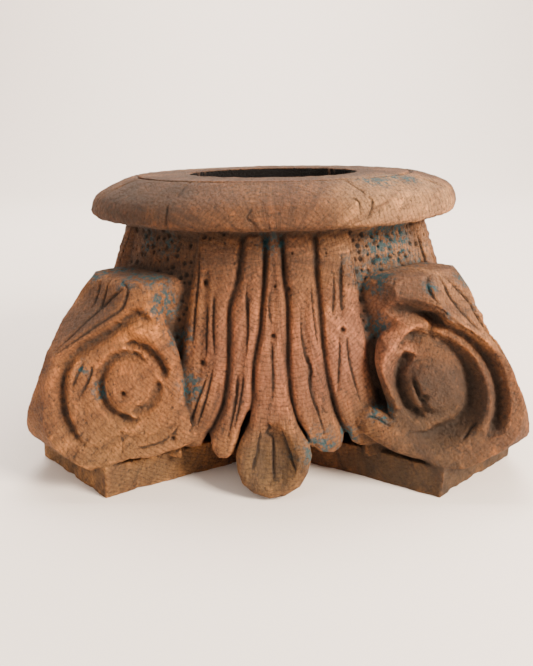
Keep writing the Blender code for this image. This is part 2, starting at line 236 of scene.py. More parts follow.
SCROLL_STROKES = [  # path, half width, height
    # the left scroll, from its rim inwards
    ([(-86, 141), (-97, 134), (-108, 139), (-120, 132), (-132, 124), (-143, 118), (-152, 113),
      (-160, 106),
      (-165, 98), (-168, 88), (-168, 77), (-166, 66), (-162, 56), (-155, 48), (-146, 42)], 8, -7.5),
    ([(-150, 112), (-156, 100), (-158, 86), (-156, 70), (-150, 58)], 8, 2.0),
    ([(-116, 130), (-101, 126), (-90, 118), (-82, 108), (-76, 97)], 8, 3.6),
    ([(-120, 117), (-106, 116), (-95, 110), (-87, 100), (-84, 88)], 6, -6.5),
    ([(-90, 92), (-92, 78), (-100, 69), (-112, 66)], 6.5, -5),
    ([(-98, 103), (-107, 108), (-117, 109), (-127, 105), (-134, 96), (-136, 86), (-133, 74), (-126, 65),
      (-113, 60), (-101, 62)], 6.5, -7),
    ([(-150, 42), (-136, 40), (-118, 48), (-104, 46), (-88, 50), (-74, 60)], 5, -2.5),
    ([(-108, 100), (-102, 88), (-106, 76)], 6, -2.0),
    # the right scroll
    ([(70, 124), (86, 133), (98, 139), (112, 138), (126, 133), (142, 125)], 13, -13),
    ([(112, 138), (128, 133), (142, 126), (155, 119), (166, 109), (174, 97), (178, 83), (178, 68),
      (173, 54),
      (162, 44)], 8, -12),
    ([(160, 101), (167, 90), (169, 76), (165, 62), (156, 51)], 6, 3.5),
    ([(98, 112), (108, 118), (122, 119), (136, 115), (147, 107), (154, 96), (157, 84), (156, 71),
      (150, 59),
      (139, 51), (124, 47), (110, 51)], 11, -13),
    ([(114, 108), (104, 102), (100, 90), (102, 78), (110, 67), (121, 60)], 7, -9),
    ([(100, 116), (92, 110), (88, 99), (90, 87), (96, 75), (103, 66)], 7, 5),
    ([(88, 122), (81, 112), (80, 101), (83, 88), (89, 74), (97, 64)], 6, -7),
    ([(111, 92), (116, 78), (123, 64)], 4, -5)]
FACE_PUNCH_RADIUS, EYE_EDGE, TURN_LIMIT = 3.8, 9, 1.3
FACE_PUNCHES = [(-117, 81), (120, 78), (-79, 46), (69, 51)]
LEFT_EYE, RIGHT_EYE = ((-114, 86), 15, 4.0), ((127, 85), 18, 7.0)
VOLUTE_SINK = [((-120, 86), 44, -1.5), ((128, 84), 44, -3.5)]
LEFT_TURN, RIGHT_TURN = (-98, -62, 7.5), (100, 72, 8.0)

face_relief = Chart((-235, 10), (235, 190))
for points, half_width, height in SCROLL_STROKES:
    face_relief.stroke(points, half_width, height, taper=0.12)
for (cx, cz), radius, height in (LEFT_EYE, RIGHT_EYE, *VOLUTE_SINK):
    away = np.hypot(face_relief.x - cx, face_relief.z - cz)
    share = np.clip((radius + 4 - away) / EYE_EDGE, 0, 1)
    face_relief.value += height * share * share * (3 - 2 * share)
for start, stop, fall in (LEFT_TURN, RIGHT_TURN):
    share = np.clip((face_relief.x - start) / (stop - start), 0, TURN_LIMIT)
    face_relief.value -= fall * share**2 * (np.sign(face_relief.x) == np.sign(start))
for across, up in FACE_PUNCHES:
    face_relief.stroke([(across, up)], FACE_PUNCH_RADIUS, PUNCH_SINK)
scroll_outline = Chart((-235, 10), (235, 190))
scroll_outline.value = np.minimum(
    outline_distance(LEFT_SCROLL, scroll_outline.x, scroll_outline.z),
    outline_distance(RIGHT_SCROLL, scroll_outline.x, scroll_outline.z)).astype(np.float32)
rims = []
for rim in (RIGHT_RIM, LEFT_RIM):
    chart = Chart((90, 10), (285, 190))
    chart.value = outline_distance(rim, chart.x, chart.z).astype(np.float32)
    rims.append(chart)

# The drop leaf in the middle of each side, which hangs from the middle tongue over the plate's
# waist. Its rim is rounded and its face is hollowed like a spoon.
LEAF = [(-7, 104), (-11, 86), (-15, 74), (-19, 56), (-26, 44), (-29.5, 33), (-29, 22), (-24, 12),
        (-15, 5), (-2, 1.5), (10, 3.5), (21, 9.5), (28, 20), (30.5, 31), (28, 43), (20, 56),
        (15, 74), (12, 86), (8, 104)]
LEAF_HOLLOW = [(-19, 40), (-18, 28), (-13, 17), (-3, 12), (9, 13), (17, 20), (20, 33), (14, 48), (4, 60),
               (-8, 58)]
SPOON_DEPTH, SPOON_EDGE, SPOON_POWER = 7.5, 9, 0.8
LEAF_NECK, LEAF_NECK_RISE, LEAF_NECK_SINK, LEAF_RIM_WIDTH, LEAF_RIM_FALL = 60, 40, 6, 6, 5
leaf_outline = Chart((-40, -5), (40, 115))
leaf_outline.value = outline_distance(LEAF, leaf_outline.x, leaf_outline.z).astype(np.float32)
leaf_relief = Chart((-40, -5), (40, 115))
hollow = outline_distance(LEAF_HOLLOW, leaf_relief.x, leaf_relief.z)
spoon = np.clip(-hollow / SPOON_EDGE, 0, 1) ** SPOON_POWER
neck = np.clip((leaf_relief.z - LEAF_NECK) / LEAF_NECK_RISE, 0, 1)
edge = np.clip(1 + leaf_outline.value / LEAF_RIM_WIDTH, 0, 1) ** 2
leaf_relief.value = (-SPOON_DEPTH * spoon - LEAF_NECK_SINK * neck - LEAF_RIM_FALL * edge).astype(np.float32)

# The whole block: the forms above joined with soft hand-cut corners, found on a coarse grid
# first, then only near the surface on the fine one, and skinned as one closed mesh.
COARSE, BAND, PARTS = 4, 9.0, 12
GRID_LOW, GRID_SIZE = (-223.0, -223.0, -4.0), (446, 446, 248)
LEAN_COSINE = 0.94
SWELL_HEIGHT, SWELL_LENGTHS = 0.8, (70, 60)
ROUGH_HEIGHTS, ROUGH_LENGTHS = (0.35, 0.3), (22, 8)
RIM_INNER, RIM_WIDTH, RIM_FOOT, RIM_RISE, DISK_RADIUS, DISK_TAPER = 132, 40, 200, 30, 173, 0.006
BELL_START, NECK_TOP, HORN_START, HORN_TOP, PLATE_EDGE = 90, 212, 100, 185, 1.2
CHIP_HEIGHT, CHIP_DEPTH, CHIP_LENGTH = 0.7, 7, 6
CHEW_START, CHEW_RISE, CHEW_HEIGHT, CHEW_LENGTH = 135, 40, 0.5, 6
BELL_HEAD, BELL_FOOT, LEAF_TOP, LEAF_BACK, LEAF_EDGE = 205, 24, 112, 128, 2.5
BULGE_START, BULGE_WIDTH, WALL_LIMIT, ARRIS_EDGE = 90, 50, 60, 3.0
SIDES = (((1, 0), (0, -1)), ((0, 1), (1, 0)), ((-1, 0), (0, 1)), ((0, -1), (-1, 0)))


def soft_max(a, b, k):
    """The larger of two distances, with a rounded change-over."""
    h = np.clip(0.5 + (a - b) / (2 * k), 0, 1)
    return b + (a - b) * h + k * h * (1 - h)


def soft_min(a, b, k):
    """The smaller of two distances, with a rounded change-over."""
    return -soft_max(-a, -b, k)


def waves(x, y, z, length, seed, count=5):
    """A smooth random swell, from -1 to 1 or so, with a given wavelength."""
    rng = np.random.default_rng(seed)
    total = 0
    for _ in range(count):
        d = rng.normal(size=3)
        d *= 2 * np.pi / (length * rng.uniform(0.7, 1.5)) / np.linalg.norm(d)
        total = total + np.sin(d[0] * x + d[1] * y + d[2] * z + rng.uniform(0, 6.28))
    return total / count**0.5


def side_surface(across, out, z, turn):
    """Distance to a side's leaning face, and to the outline of its scrolls."""
    sign = -1 if turn % 2 else 1
    bulge = np.interp(z, *zip(*BULGES[turn])) * np.clip((np.abs(across) - BULGE_START) / BULGE_WIDTH, 0, 1)
    relief = face_relief.read(sign * across, z)
    chips = CHIP_HEIGHT * np.clip(-relief / CHIP_DEPTH, 0, 1) * waves(across, out, z, CHIP_LENGTH, 7)
    face = out - reach_at(z) - bulge - relief + chips
    leant = across - np.sign(across) * WALL_LEAN * np.clip(reach_at(z) - out, 0, WALL_LIMIT)
    return LEAN_COSINE * face, scroll_outline.read(sign * leant, z)


def block_distance(x, y, z):
    """Signed distance from the whole block, in millimetres."""
    swell = waves(x, y, z, SWELL_LENGTHS[0], 1)
    x, y = x + SWELL_HEIGHT * swell, y + SWELL_HEIGHT * waves(x, y, z, SWELL_LENGTHS[1], 2)
    radius = np.hypot(x, y)
    rough = (ROUGH_HEIGHTS[0] * waves(x, y, z, ROUGH_LENGTHS[0], 3)
             + ROUGH_HEIGHTS[1] * waves(x, y, 0.3 * z, ROUGH_LENGTHS[1], 4))
    rim_share = np.clip((radius - RIM_INNER) / RIM_WIDTH, 0, 1) * np.clip((z - RIM_FOOT) / RIM_RISE, 0, 1)
    worn = DISK_LEAN * rim_share * (x / DISK_RADIUS - 0.3)
    total = turned_profile.read(radius * (1 - DISK_TAPER * (z > RIM_FOOT)), z - worn) + 0.5 * rough
    middle = PLATE_THICKNESS / 2
    plate = soft_max(plate_outline.read(x, y), np.abs(z - middle) - middle, PLATE_EDGE)
    total = np.minimum(total, plate)
    for turn, ((ax, ay), (ox, oy)) in enumerate(SIDES):
        across, out = ax * x + ay * y, ox * x + oy * y
        sign = -1 if turn % 2 else 1
        here = (out > np.abs(across) * 0.95) & (out > BELL_START) & (z < NECK_TOP)
        a, o, h = across[here], out[here], z[here]
        arc = np.hypot(a, o)
        bell = LEAN_COSINE * (arc - reach_at(h) - bell_relief.read(sign * a, h))
        chewed = CHEW_HEIGHT * np.clip((h - CHEW_START) / CHEW_RISE, 0, 1)
        bell += chewed * waves(a, o, h, CHEW_LENGTH, 6)
        bell = soft_max(bell, h - BELL_HEAD, 0.5)
        bell = soft_max(bell, BELL_FOOT - h, 1.5)
        leaf = soft_max(LEAN_COSINE * (o - reach_at(h) - leaf_relief.read(sign * a, h)),
                        leaf_outline.read(sign * a, h), LEAF_EDGE)
        leaf = np.maximum(leaf, LEAF_BACK - o)
        leaf = np.where(h < LEAF_TOP, leaf, 1e3)
        total[here] = soft_min(total[here], soft_min(bell, leaf, 1.0), 0.6) + 0.6 * rough[here]
    for turn in range(4):
        (ax, ay), (ox, oy) = SIDES[turn]
        (bx, by), (px, py) = SIDES[(turn + 1) % 4]
        diagonal = ((ox + px) * x + (oy + py) * y) / 2**0.5
        here = (diagonal > HORN_START) & (z < HORN_TOP)
        u, v, h = x[here], y[here], z[here]
        q = diagonal[here]
        face_a, outline_a = side_surface(ax * u + ay * v, ox * u + oy * v, h, turn)
        face_b, outline_b = side_surface(bx * u + by * v, px * u + py * v, h, (turn + 1) % 4)
        aside = np.abs((ox - px) * u + (oy - py) * v) / 2**0.5
        out_a, out_b = ox * u + oy * v, px * u + py * v
        reach = reach_at(h) - SCROLL_BACK
        roll = np.interp(h, *zip(*SCROLL_ROLL))
        roll_a = soft_max(np.maximum(outline_a, reach - out_a), face_a, roll)
        roll_b = soft_max(np.maximum(outline_b, reach - out_b), face_b, roll)
        body = soft_min(np.minimum(roll_a, roll_b), aside - HORN_HALF_WIDTH, 2)
        rim_roll = np.interp(h, *zip(*RIM_ROLL))
        horn = soft_max(rims[turn % 2].read(q, h), body, rim_roll)
        horn = np.maximum(horn, soft_max(face_a, face_b, ARRIS_EDGE))
        total[here] = soft_min(total[here], horn + 0.5 * rough[here], 1.0)
    return total


low = np.array(GRID_LOW)
shape = (np.ceil(np.array(GRID_SIZE) / (GRID_PITCH * COARSE)).astype(int)) * COARSE
coarse_axes = [low[i] + GRID_PITCH * COARSE * (np.arange(shape[i] // COARSE) + 0.5) for i in range(3)]
cx, cy, cz = (g.ravel().astype(np.float32) for g in np.meshgrid(*coarse_axes, indexing="ij"))
coarse = block_distance(cx, cy, cz).reshape(shape // COARSE)
grid = np.repeat(np.repeat(np.repeat(coarse, COARSE, 0), COARSE, 1), COARSE, 2)
close = np.abs(coarse) < BAND
for axis in range(3):
    for step in (1, -1):
        close |= (coarse < 0) != (np.roll(coarse, step, axis) < 0)
cells = np.argwhere(close) * COARSE
inner = np.array([(i, j, k) for i in range(COARSE) for j in range(COARSE) for k in range(COARSE)])
for part in np.array_split(cells, PARTS):
    at = (part[:, None, :] + inner[None]).reshape(-1, 3)
    place = (low + GRID_PITCH * (at + 0.5)).astype(np.float32)
    grid[at[:, 0], at[:, 1], at[:, 2]] = block_distance(*(place[:, i].copy() for i in range(3)))

volume = openvdb.FloatGrid(background=BAND)
volume.copyFromArray(np.clip(grid, -BAND, BAND), ijk=(0, 0, 0), tolerance=0.0)
points, quads = volume.convertToQuads(isovalue=0.0)
points = (low + GRID_PITCH * (points.astype(np.float64) + 0.5)) / 1000

mesh = bpy.data.meshes.new("carved_wood")
mesh.vertices.add(len(points))
mesh.vertices.foreach_set("co", points.astype(np.float32).ravel())
mesh.loops.add(quads.size)
mesh.loops.foreach_set("vertex_index", quads.astype(np.int32).ravel())
mesh.polygons.add(len(quads))
mesh.polygons.foreach_set("loop_start", np.arange(0, quads.size, 4, dtype=np.int32))
mesh.update(calc_edges=True)
wood = bpy.data.objects.new("carved_wood", mesh)
bpy.context.scene.collection.objects.link(wood)

# The cut lines: veins in the stems, tongues and leaves, made with one stroke of a gouge, and the
# drying cracks of the disk. Each is a path laid on the wood, drawn as across and up one side.
STEM_CUTS = [[(-53, 146), (-53, 126), (-53, 104)], [(-46, 156), (-47, 134), (-46, 108)],
             [(-51, 93), (-60, 71), (-69, 45)], [(-47, 97), (-52, 77), (-60, 53)],
             [(-19, 163), (-19, 139), (-20, 106)], [(-26, 95), (-29, 75), (-35, 46)],
             [(-22, 95), (-25, 75), (-30, 54)], [(0, 156), (-1, 144), (1, 132)], [(0, 120), (1, 98),
              (1, 75)],
             [(25, 148), (26, 123), (30, 99), (33, 76), (37, 64), (42, 45)], [(50, 168), (50, 151),
              (49, 136)],
             [(57, 182), (56, 159), (57, 134)], [(65, 194), (70, 176), (72, 160), (74, 151)],
             [(55, 122), (54, 99), (52, 76)], [(60, 120), (63, 98), (71, 69)],
             [(-61, 200), (-60, 171), (-63, 140), (-64, 114)], [(33, 162), (34, 149), (37, 130),
              (40, 113)]]
LEAF_CUTS = [[(-7, 54), (-7, 42), (-10, 33), (-16, 22)], [(-4, 63), (0, 46), (1, 32), (0, 16)],
             [(6, 55), (8, 42), (12, 32), (18, 24)]]
FACE_CUTS = [[(-149, 105), (-154, 95), (-159, 84)], [(-142, 103), (-145, 93), (-153, 78)],
             [(-111, 40), (-96, 43), (-80, 49), (-73, 57)], [(71, 66), (84, 63), (95, 56)],
             [(110, 92), (116, 77), (125, 62)], [(152, 65), (146, 50)]]
CORNER_CUTS = [[(-119, 165), (-115, 160), (-116, 152), (-120, 144), (-130, 138), (-140, 132), (-152, 124),
                (-163, 117), (-173, 110)],
               [(-136, 166), (-139, 155), (-144, 145)],
               [(-127, 167), (-133, 154), (-138, 144), (-148, 135), (-160, 124), (-171, 114)],
               [(-118, 160), (-127, 153), (-136, 145), (-146, 136)],
               [(126, 168), (124, 164), (124, 158), (127, 152), (132, 146)],
               [(132, 167), (137, 158), (142, 149), (150, 139), (157, 132), (164, 125)],
               [(134, 168), (143, 160), (150, 153), (156, 146), (160, 139), (167, 128),
                (174, 119), (180, 109)],
               [(129, 144), (140, 136), (150, 128), (161, 121), (170, 115)]]
FINE_CUTS = [[(-150, 42), (-144, 48)], [(-158, 31), (-152, 41)], [(-120, 56), (-118, 43), (-119, 34)],
             [(40, 72), (46, 66)], [(-40, 88), (-44, 80)]]
DISK_CRACKS = [[(-13, 171, 230), (-14, 173, 222), (-17, 173, 216), (-12, 174, 212), (-10, 170, 205)],
               [(-80, 151, 228), (-80, 154, 214), (-81, 151, 205)],
               [(63, 155, 232), (70, 157, 228), (69, 159, 214)],
               [(74, 147, 232), (80, 152, 228), (79, 155, 219), (72, 156, 209)],
               [(-120, 60, 240), (-128, 64, 240), (-150, 77, 236)],
               [(60, -110, 240), (68, -125, 240), (75, -150, 230)]]
LEAST_SHARE, TAPER_RATE, SIGHT_STEPS, GUIDE_STEPS = 0.35, 3, 60, 12
RING_ARC = [(132 * np.sin(a), 132 * np.cos(a), 239) for a in np.linspace(-np.pi / 4, np.pi / 4, 13)]
EYE = np.array((15.98, -693.18, 277.92))


def on_bell(across, z):
    """A point on the bell of the front, in millimetres."""
    return across, -(reach_at(z) ** 2 - across**2) ** 0.5, z


def on_face(across, z):
    """A point on the front's leaning face."""
    return across, -reach_at(z), z


def on_corner(across, z):
    """A point on a horn's leaf, found behind its place on the front plane as the photo shows it."""
    at = np.array(on_face(across, z))
    sight = at - EYE
    sight /= np.linalg.norm(sight)
    for _ in range(SIGHT_STEPS):
        at = at + sight * float(block_distance(*(at[:, None].astype(np.float32)))[0])
    return tuple(at)


def gouge_paths(name, drawings, turns, mirrored):
    """An edge mesh of all the paths on the four sides, with each point's share of the full width."""
    verts, shares, lines = [], [], []
    for put, paths in drawings:
        for path in paths:
            flat = smooth_path([put(*point) for point in path], GUIDE_STEPS)
            for turn in turns:
                placed = flat * ((-1, 1, 1) if mirrored and turn % 2 else (1, 1, 1))
                c, s = ((1, 0), (0, 1), (-1, 0), (0, -1))[turn]
                start = len(verts)
                for i, (x, y, z) in enumerate(placed):
                    verts.append(((x * c - y * s) / 1000, (x * s + y * c) / 1000, z / 1000))
                    from_end = min(i, len(placed) - 1 - i) / len(placed)
                    shares.append(min(1, LEAST_SHARE + TAPER_RATE * from_end))
                lines += [(i, i + 1) for i in range(start, len(verts) - 1)]
    data = bpy.data.meshes.new(name)
    data.from_pydata(verts, lines, [])
    data.attributes.new("share", "FLOAT", "POINT").data.foreach_set("value", shares)
    return bpy.data.objects.new(name, data)


def as_drawn(x, y, z):
    """A point of a crack, its depth given as a distance to the front."""
    return x, -y, z


def add_node(tree, kind, settings=None, inputs=None):
    """One node with its settings, and its inputs as values or as links."""
    node = tree.nodes.new(kind)
    for key, value in (settings or {}).items():
        setattr(node, key, value)
    for key, value in (inputs or {}).items():
        if isinstance(value, bpy.types.NodeSocket):
            tree.links.new(value, node.inputs[key])
        else:
            node.inputs[key].default_value = value
    return node


def new_geometry_tree(name, sizes):
    """A geometry tree with a mesh in and out and named inputs, and its group input."""
    tree = bpy.data.node_groups.new(name, "GeometryNodeTree")
    tree.interface.new_socket("Geometry", in_out="INPUT", socket_type="NodeSocketGeometry")
    for label, kind in sizes:
        tree.interface.new_socket(label, in_out="INPUT", socket_type="NodeSocket" + kind)
    tree.interface.new_socket("Geometry", in_out="OUTPUT", socket_type="NodeSocketGeometry")
    return tree, add_node(tree, "NodeGroupInput").outputs


def sink_and_finish(tree, given, share, depth):
    """The tree's last nodes: sink the surface by a share of a depth, note how far it is cut, finish."""
    sunk = add_node(tree, "ShaderNodeMath", {"operation": "MULTIPLY"}, {0: share, 1: depth})
    down = add_node(tree, "ShaderNodeMath", {"operation": "MULTIPLY"}, {0: sunk.outputs[0], 1: -1.0})
    facing = add_node(tree, "GeometryNodeInputNormal").outputs[0]
    push = add_node(tree, "ShaderNodeVectorMath", {"operation": "SCALE"},
                    {0: facing, "Scale": down.outputs[0]})
    moved = add_node(tree, "GeometryNodeSetPosition", None,
                     {"Geometry": given["Geometry"], "Offset": push.outputs[0]})
    before = add_node(tree, "GeometryNodeInputNamedAttribute", {"data_type": "FLOAT"}, {"Name": "cut"})
    deepest = add_node(tree, "ShaderNodeMath", {"operation": "MAXIMUM"},
                       {0: before.outputs["Attribute"], 1: share})
    noted = add_node(tree, "GeometryNodeStoreNamedAttribute", {"data_type": "FLOAT", "domain": "POINT"},
                     {"Geometry": moved.outputs[0], "Name": "cut", "Value": deepest.outputs[0]})
    real = add_node(tree, "GeometryNodeRealizeInstances", None, {"Geometry": noted.outputs[0]})
    made = add_node(tree, "GeometryNodeSetMaterial", None, {"Geometry": real.outputs[0],
                                                           "Material": given["Wood"]})
    add_node(tree, "NodeGroupOutput", None, {"Geometry": made.outputs[0]})


gouge, given = new_geometry_tree("gouge", (("Paths", "Object"), ("Half Width", "Float"), ("Depth", "Float"),
                                           ("Wood", "Material")))
paths_in = add_node(gouge, "GeometryNodeObjectInfo", None, {"Object": given["Paths"]}).outputs["Geometry"]
surface = add_node(gouge, "GeometryNodeProximity", {"target_element": "FACES"}, {0: given["Geometry"]})
laid = add_node(gouge, "GeometryNodeSetPosition", None, {"Geometry": paths_in,
                                                        "Position": surface.outputs["Position"]}).outputs[0]
away = add_node(gouge, "GeometryNodeProximity", {"target_element": "EDGES"}, {0: laid})
nearest = add_node(gouge, "GeometryNodeSampleNearest", {"domain": "POINT"}, {"Geometry": laid})
share_in = add_node(gouge, "GeometryNodeInputNamedAttribute", {"data_type": "FLOAT"}, {"Name": "share"})
width_share = add_node(gouge, "GeometryNodeSampleIndex", {"data_type": "FLOAT", "domain": "POINT"},
                       {"Geometry": laid, "Value": share_in.outputs["Attribute"],
                        "Index": nearest.outputs["Index"]}).outputs[0]
half = add_node(gouge, "ShaderNodeMath", {"operation": "MULTIPLY"},
                {0: given["Half Width"], 1: width_share})
profile = add_node(gouge, "ShaderNodeMapRange", {"interpolation_type": "SMOOTHSTEP"},
                   {"Value": away.outputs["Distance"], "From Min": 0.0, "From Max": half.outputs[0],
                    "To Min": 1.0, "To Max": 0.0})
cut_share = add_node(gouge, "ShaderNodeMath", {"operation": "MULTIPLY"},
                     {0: profile.outputs[0], 1: width_share})
sink_and_finish(gouge, given, cut_share.outputs[0], given["Depth"])


def set_inputs(modifier, **values):
    """Sets a tree's inputs by the identifiers of their sockets."""
    for item in modifier.node_group.interface.items_tree:
        key = item.name.replace(" ", "_").lower()
        if item.in_out == "INPUT" and key in values:
            modifier[item.identifier] = values[key]


hardwood = bpy.data.materials.new("aged_hardwood")
for name, drawings, width, depth, turns, mirrored in (
        ("veins", ((on_bell, STEM_CUTS), (on_face, LEAF_CUTS), (on_face, FACE_CUTS)), 1.9, 2.4,
         range(4), True),
        ("corner_veins", ((on_corner, CORNER_CUTS),), 2.4, 2.8, (0, 2), False),
        ("fine_cuts", ((on_face, FINE_CUTS),), 1.6, 1.4, range(4), True),
        ("cracks", ((as_drawn, DISK_CRACKS + [RING_ARC]),), 1.7, 1.6, range(4), False)):
    guide = gouge_paths(name, drawings, turns, mirrored)
    bpy.context.scene.collection.objects.link(guide)
    cutting = wood.modifiers.new(name, "NODES")
    cutting.node_group = gouge
    set_inputs(cutting, paths=guide, half_width=width / 1000, depth=depth / 1000, wood=hardwood)

# The punched ground of the panels: pits struck close together with a pointed punch, up to the
# neck, and a chewed surface on the upper ends of the stems and tongues.
PIT_SPACING, PIT_DENSITY, PIT_SEED = 0.0050, 20000.0, 11
PANEL_FOOT, PANEL_TOP, PANEL_INNER, PANEL_DEPTHS = 112, 200, 64, (5.2, 11)
STEM_PIT_START, STEM_PIT_RISE, STEM_PIT_SHARE, STEM_DEPTHS = 150, 30, 0.14, (-3, 5)
PIT_SMALLEST, PIT_LARGEST, PIT_DEPTH = 0.0012, 0.0034, 0.0036

pitting, given = new_geometry_tree("punch_pits", (
    ("Spacing", "Float"), ("Density", "Float"), ("Smallest", "Float"), ("Largest", "Float"),
    ("Depth", "Float"), ("Seed", "Int"), ("Wood", "Material")))
panel_in = add_node(pitting, "GeometryNodeInputNamedAttribute", {"data_type": "FLOAT"}, {"Name": "panel"})
struck = add_node(pitting, "GeometryNodeDistributePointsOnFaces", {"distribute_method": "POISSON"},
                  {"Mesh": given["Geometry"], "Distance Min": given["Spacing"],
                   "Density Max": given["Density"], "Density Factor": panel_in.outputs["Attribute"],
                   "Seed": given["Seed"]}).outputs["Points"]
size = add_node(pitting, "FunctionNodeRandomValue", {"data_type": "FLOAT"},
                {2: given["Smallest"], 3: given["Largest"], "Seed": given["Seed"]}).outputs[1]
sized = add_node(pitting, "GeometryNodeStoreNamedAttribute", {"data_type": "FLOAT", "domain": "POINT"},
                 {"Geometry": struck, "Name": "size", "Value": size}).outputs[0]
away = add_node(pitting, "GeometryNodeProximity", {"target_element": "POINTS"}, {0: sized})
nearest = add_node(pitting, "GeometryNodeSampleNearest", {"domain": "POINT"}, {"Geometry": sized})
size_in = add_node(pitting, "GeometryNodeInputNamedAttribute", {"data_type": "FLOAT"}, {"Name": "size"})
radius = add_node(pitting, "GeometryNodeSampleIndex", {"data_type": "FLOAT", "domain": "POINT"},
                  {"Geometry": sized, "Value": size_in.outputs["Attribute"],
                   "Index": nearest.outputs["Index"]}).outputs[0]
pit = add_node(pitting, "ShaderNodeMapRange", {"interpolation_type": "SMOOTHSTEP"},
               {"Value": away.outputs["Distance"], "From Min": 0.0, "From Max": radius,
                "To Min": 1.0, "To Max": 0.0})
sink_and_finish(pitting, given, pit.outputs[0], given["Depth"])

x, y, z = points.T * 1000
radius = np.hypot(x, y)
across = np.minimum(np.abs(x), np.abs(y))
sunk = reach_at(z) - radius
on_panel = (sunk > PANEL_DEPTHS[0]) & (sunk < PANEL_DEPTHS[1]) & (across > PANEL_INNER)
on_panel &= (z > PANEL_FOOT) & (z < PANEL_TOP)
on_stem = (sunk > STEM_DEPTHS[0]) & (sunk < STEM_DEPTHS[1]) & (z > STEM_PIT_START) & (z < PANEL_TOP)
stem_share = STEM_PIT_SHARE * np.clip((z - STEM_PIT_START) / STEM_PIT_RISE, 0, 1)
panel = np.where(on_panel, 1.0, np.where(on_stem, stem_share, 0.0))
mesh.attributes.new("panel", "FLOAT", "POINT").data.foreach_set("value", panel.astype(np.float32))
mesh.attributes.new("cut", "FLOAT", "POINT")
punching = wood.modifiers.new("Punching", "NODES")
punching.node_group = pitting
set_inputs(punching, spacing=PIT_SPACING, density=PIT_DENSITY, smallest=PIT_SMALLEST, largest=PIT_LARGEST,
           depth=PIT_DEPTH, seed=PIT_SEED, wood=hardwood)

# The finish, as values on the mesh: how hollow and how sheltered each place is, the large brown
# stains with patches of painted shade and painted highlight among them, what is left of a blue-green paint,
# and where the inside of the socket is coloured near-black.
TRIANGLES = 197000
# Brown stains of the wood, with patches of painted shade and a painted highlight among them, marked below.
STAINS_AND_PAINTED_LIGHT = [  # middle in millimetres, reach, colour, strength: the front's, repeated on every side
    # the second here, dark on the disk's left front, is painted shade
    ((0, -175, 212), 100, "764826", 0.8), ((-110, -130, 222), 80, "2A170B", 0.95),
    # pale on the disk's right front: a painted highlight
    ((130, -115, 224), 66, "CC9C68", 0.85),
    ((-120, -185, 85), 62, "9A5C2A", 0.8), ((-112, -165, 150), 34, "B06C2C", 0.8),
    # the second here, dark over the right scroll, is painted shade
    ((-148, -155, 142), 36, "4A2A14", 0.95), ((130, -185, 80), 58, "321C0F", 0.95),
    # the second here, dark over the right hood, is painted shade
    ((150, -165, 140), 40, "8A5830", 0.6), ((104, -155, 158), 34, "3A2012", 0.95),
    # the first here, near-black at the inner end of the right hood, is a painted shadow
    ((93, -150, 148), 18, "1A0E08", 0.9), ((0, -180, 110), 62, "94583C", 0.7),
    ((70, -170, 120), 40, "A4664A", 0.7), ((-90, -125, 185), 50, "40220F", 0.8),
    ((100, -125, 190), 46, "8C6044", 0.7), ((0, -150, 195), 52, "4A2C1C", 0.6),
    ((0, -205, 25), 34, "5C4828", 0.8), ((-120, -170, 6), 70, "7A5C34", 0.7),
    ((120, -170, 6), 72, "2C2210", 0.95),
    # dark over the top of the disk: painted shade
    ((0, 0, 262), 160, "2A180B", 0.95)]
PAINT = [  # middle, reach: where paint is left in the corners of the carving
    (-88, -152, 143, 16), (-97, -143, 163, 14), (-108, -132, 172, 16), (-76, -160, 118, 13),
    (-118, -150, 168, 12), (-66, -172, 80, 14), (97, -115, 186, 24), (84, -140, 165, 18),
    (118, -108, 178, 16), (88, -148, 123, 12), (86, -183, 62, 11), (36, -190, 34, 20),
    (-137, -182, 82, 8), (-150, -175, 98, 8), (72, -150, 178, 16), (110, -85, 238, 18),
    (-96, -120, 190, 16), (60, -185, 44, 9), (128, -160, 160, 9), (140, -172, 140, 8),
    (0, -140, 190, 12)]
# How much wood lies close around each place and further around it; the shader paints shade into the hollows
# and recesses from them, and pales the edges.
HOLLOW_REACH, SHELTER_REACH = 3.0, 11.0
# The inside of the socket, below its rim, is coloured near-black.
BLACK_SOCKET_RADIUS, BLACK_SOCKET_FOOT, BLACK_SOCKET_TOP = 84, 90, 239.2


def blurred(solid, reach):
    """Share of solid around each grid point, within a cube of a given reach in grid steps."""
    for axis in range(3):
        total = np.cumsum(solid, axis=axis, dtype=np.float32)
        total = np.concatenate([np.zeros_like(np.take(total, [0], axis)), total], axis)
        size = total.shape[axis] - 1
        upper = np.clip(np.arange(size) + reach + 1, 0, size)
        lower = np.clip(np.arange(size) - reach, 0, size)
        solid = (np.take(total, upper, axis) - np.take(total, lower, axis)) / (2 * reach + 1)
    return solid


def placed_on_side(places, turn):
    """Where points of one side come when that side is turned to the front."""
    (ax, ay), (ox, oy) = SIDES[turn]
    x, y = places[:, 0], places[:, 1]
    sign = -1 if turn % 2 else 1
    return np.stack([sign * (ax * x + ay * y), -(ox * x + oy * y), places[:, 2]], 1)


filled = np.clip(0.5 - grid / GRID_PITCH, 0, 1).astype(np.float32)
thin = wood.modifiers.new("Thin", "DECIMATE")
thin.ratio = min(1.0, TRIANGLES / (2 * len(quads)))
thin.use_collapse_triangulate = True
graph = bpy.context.evaluated_depsgraph_get()
finished = bpy.data.meshes.new_from_object(wood.evaluated_get(graph))
wood.modifiers.clear()
wood.data = finished
bpy.data.meshes.remove(mesh)
for name in ("veins", "corner_veins", "fine_cuts", "cracks"):
    bpy.data.objects.remove(bpy.data.objects[name])
finished.name = "carved_wood"
finished.shade_smooth()


def srgb(code):
    """A linear colour from a six-figure sRGB code."""
    parts = [int(code[i:i + 2], 16) / 255 for i in (0, 2, 4)]
    return (*(c / 12.92 if c <= 0.04045 else ((c + 0.055) / 1.055) ** 2.4 for c in parts), 1.0)


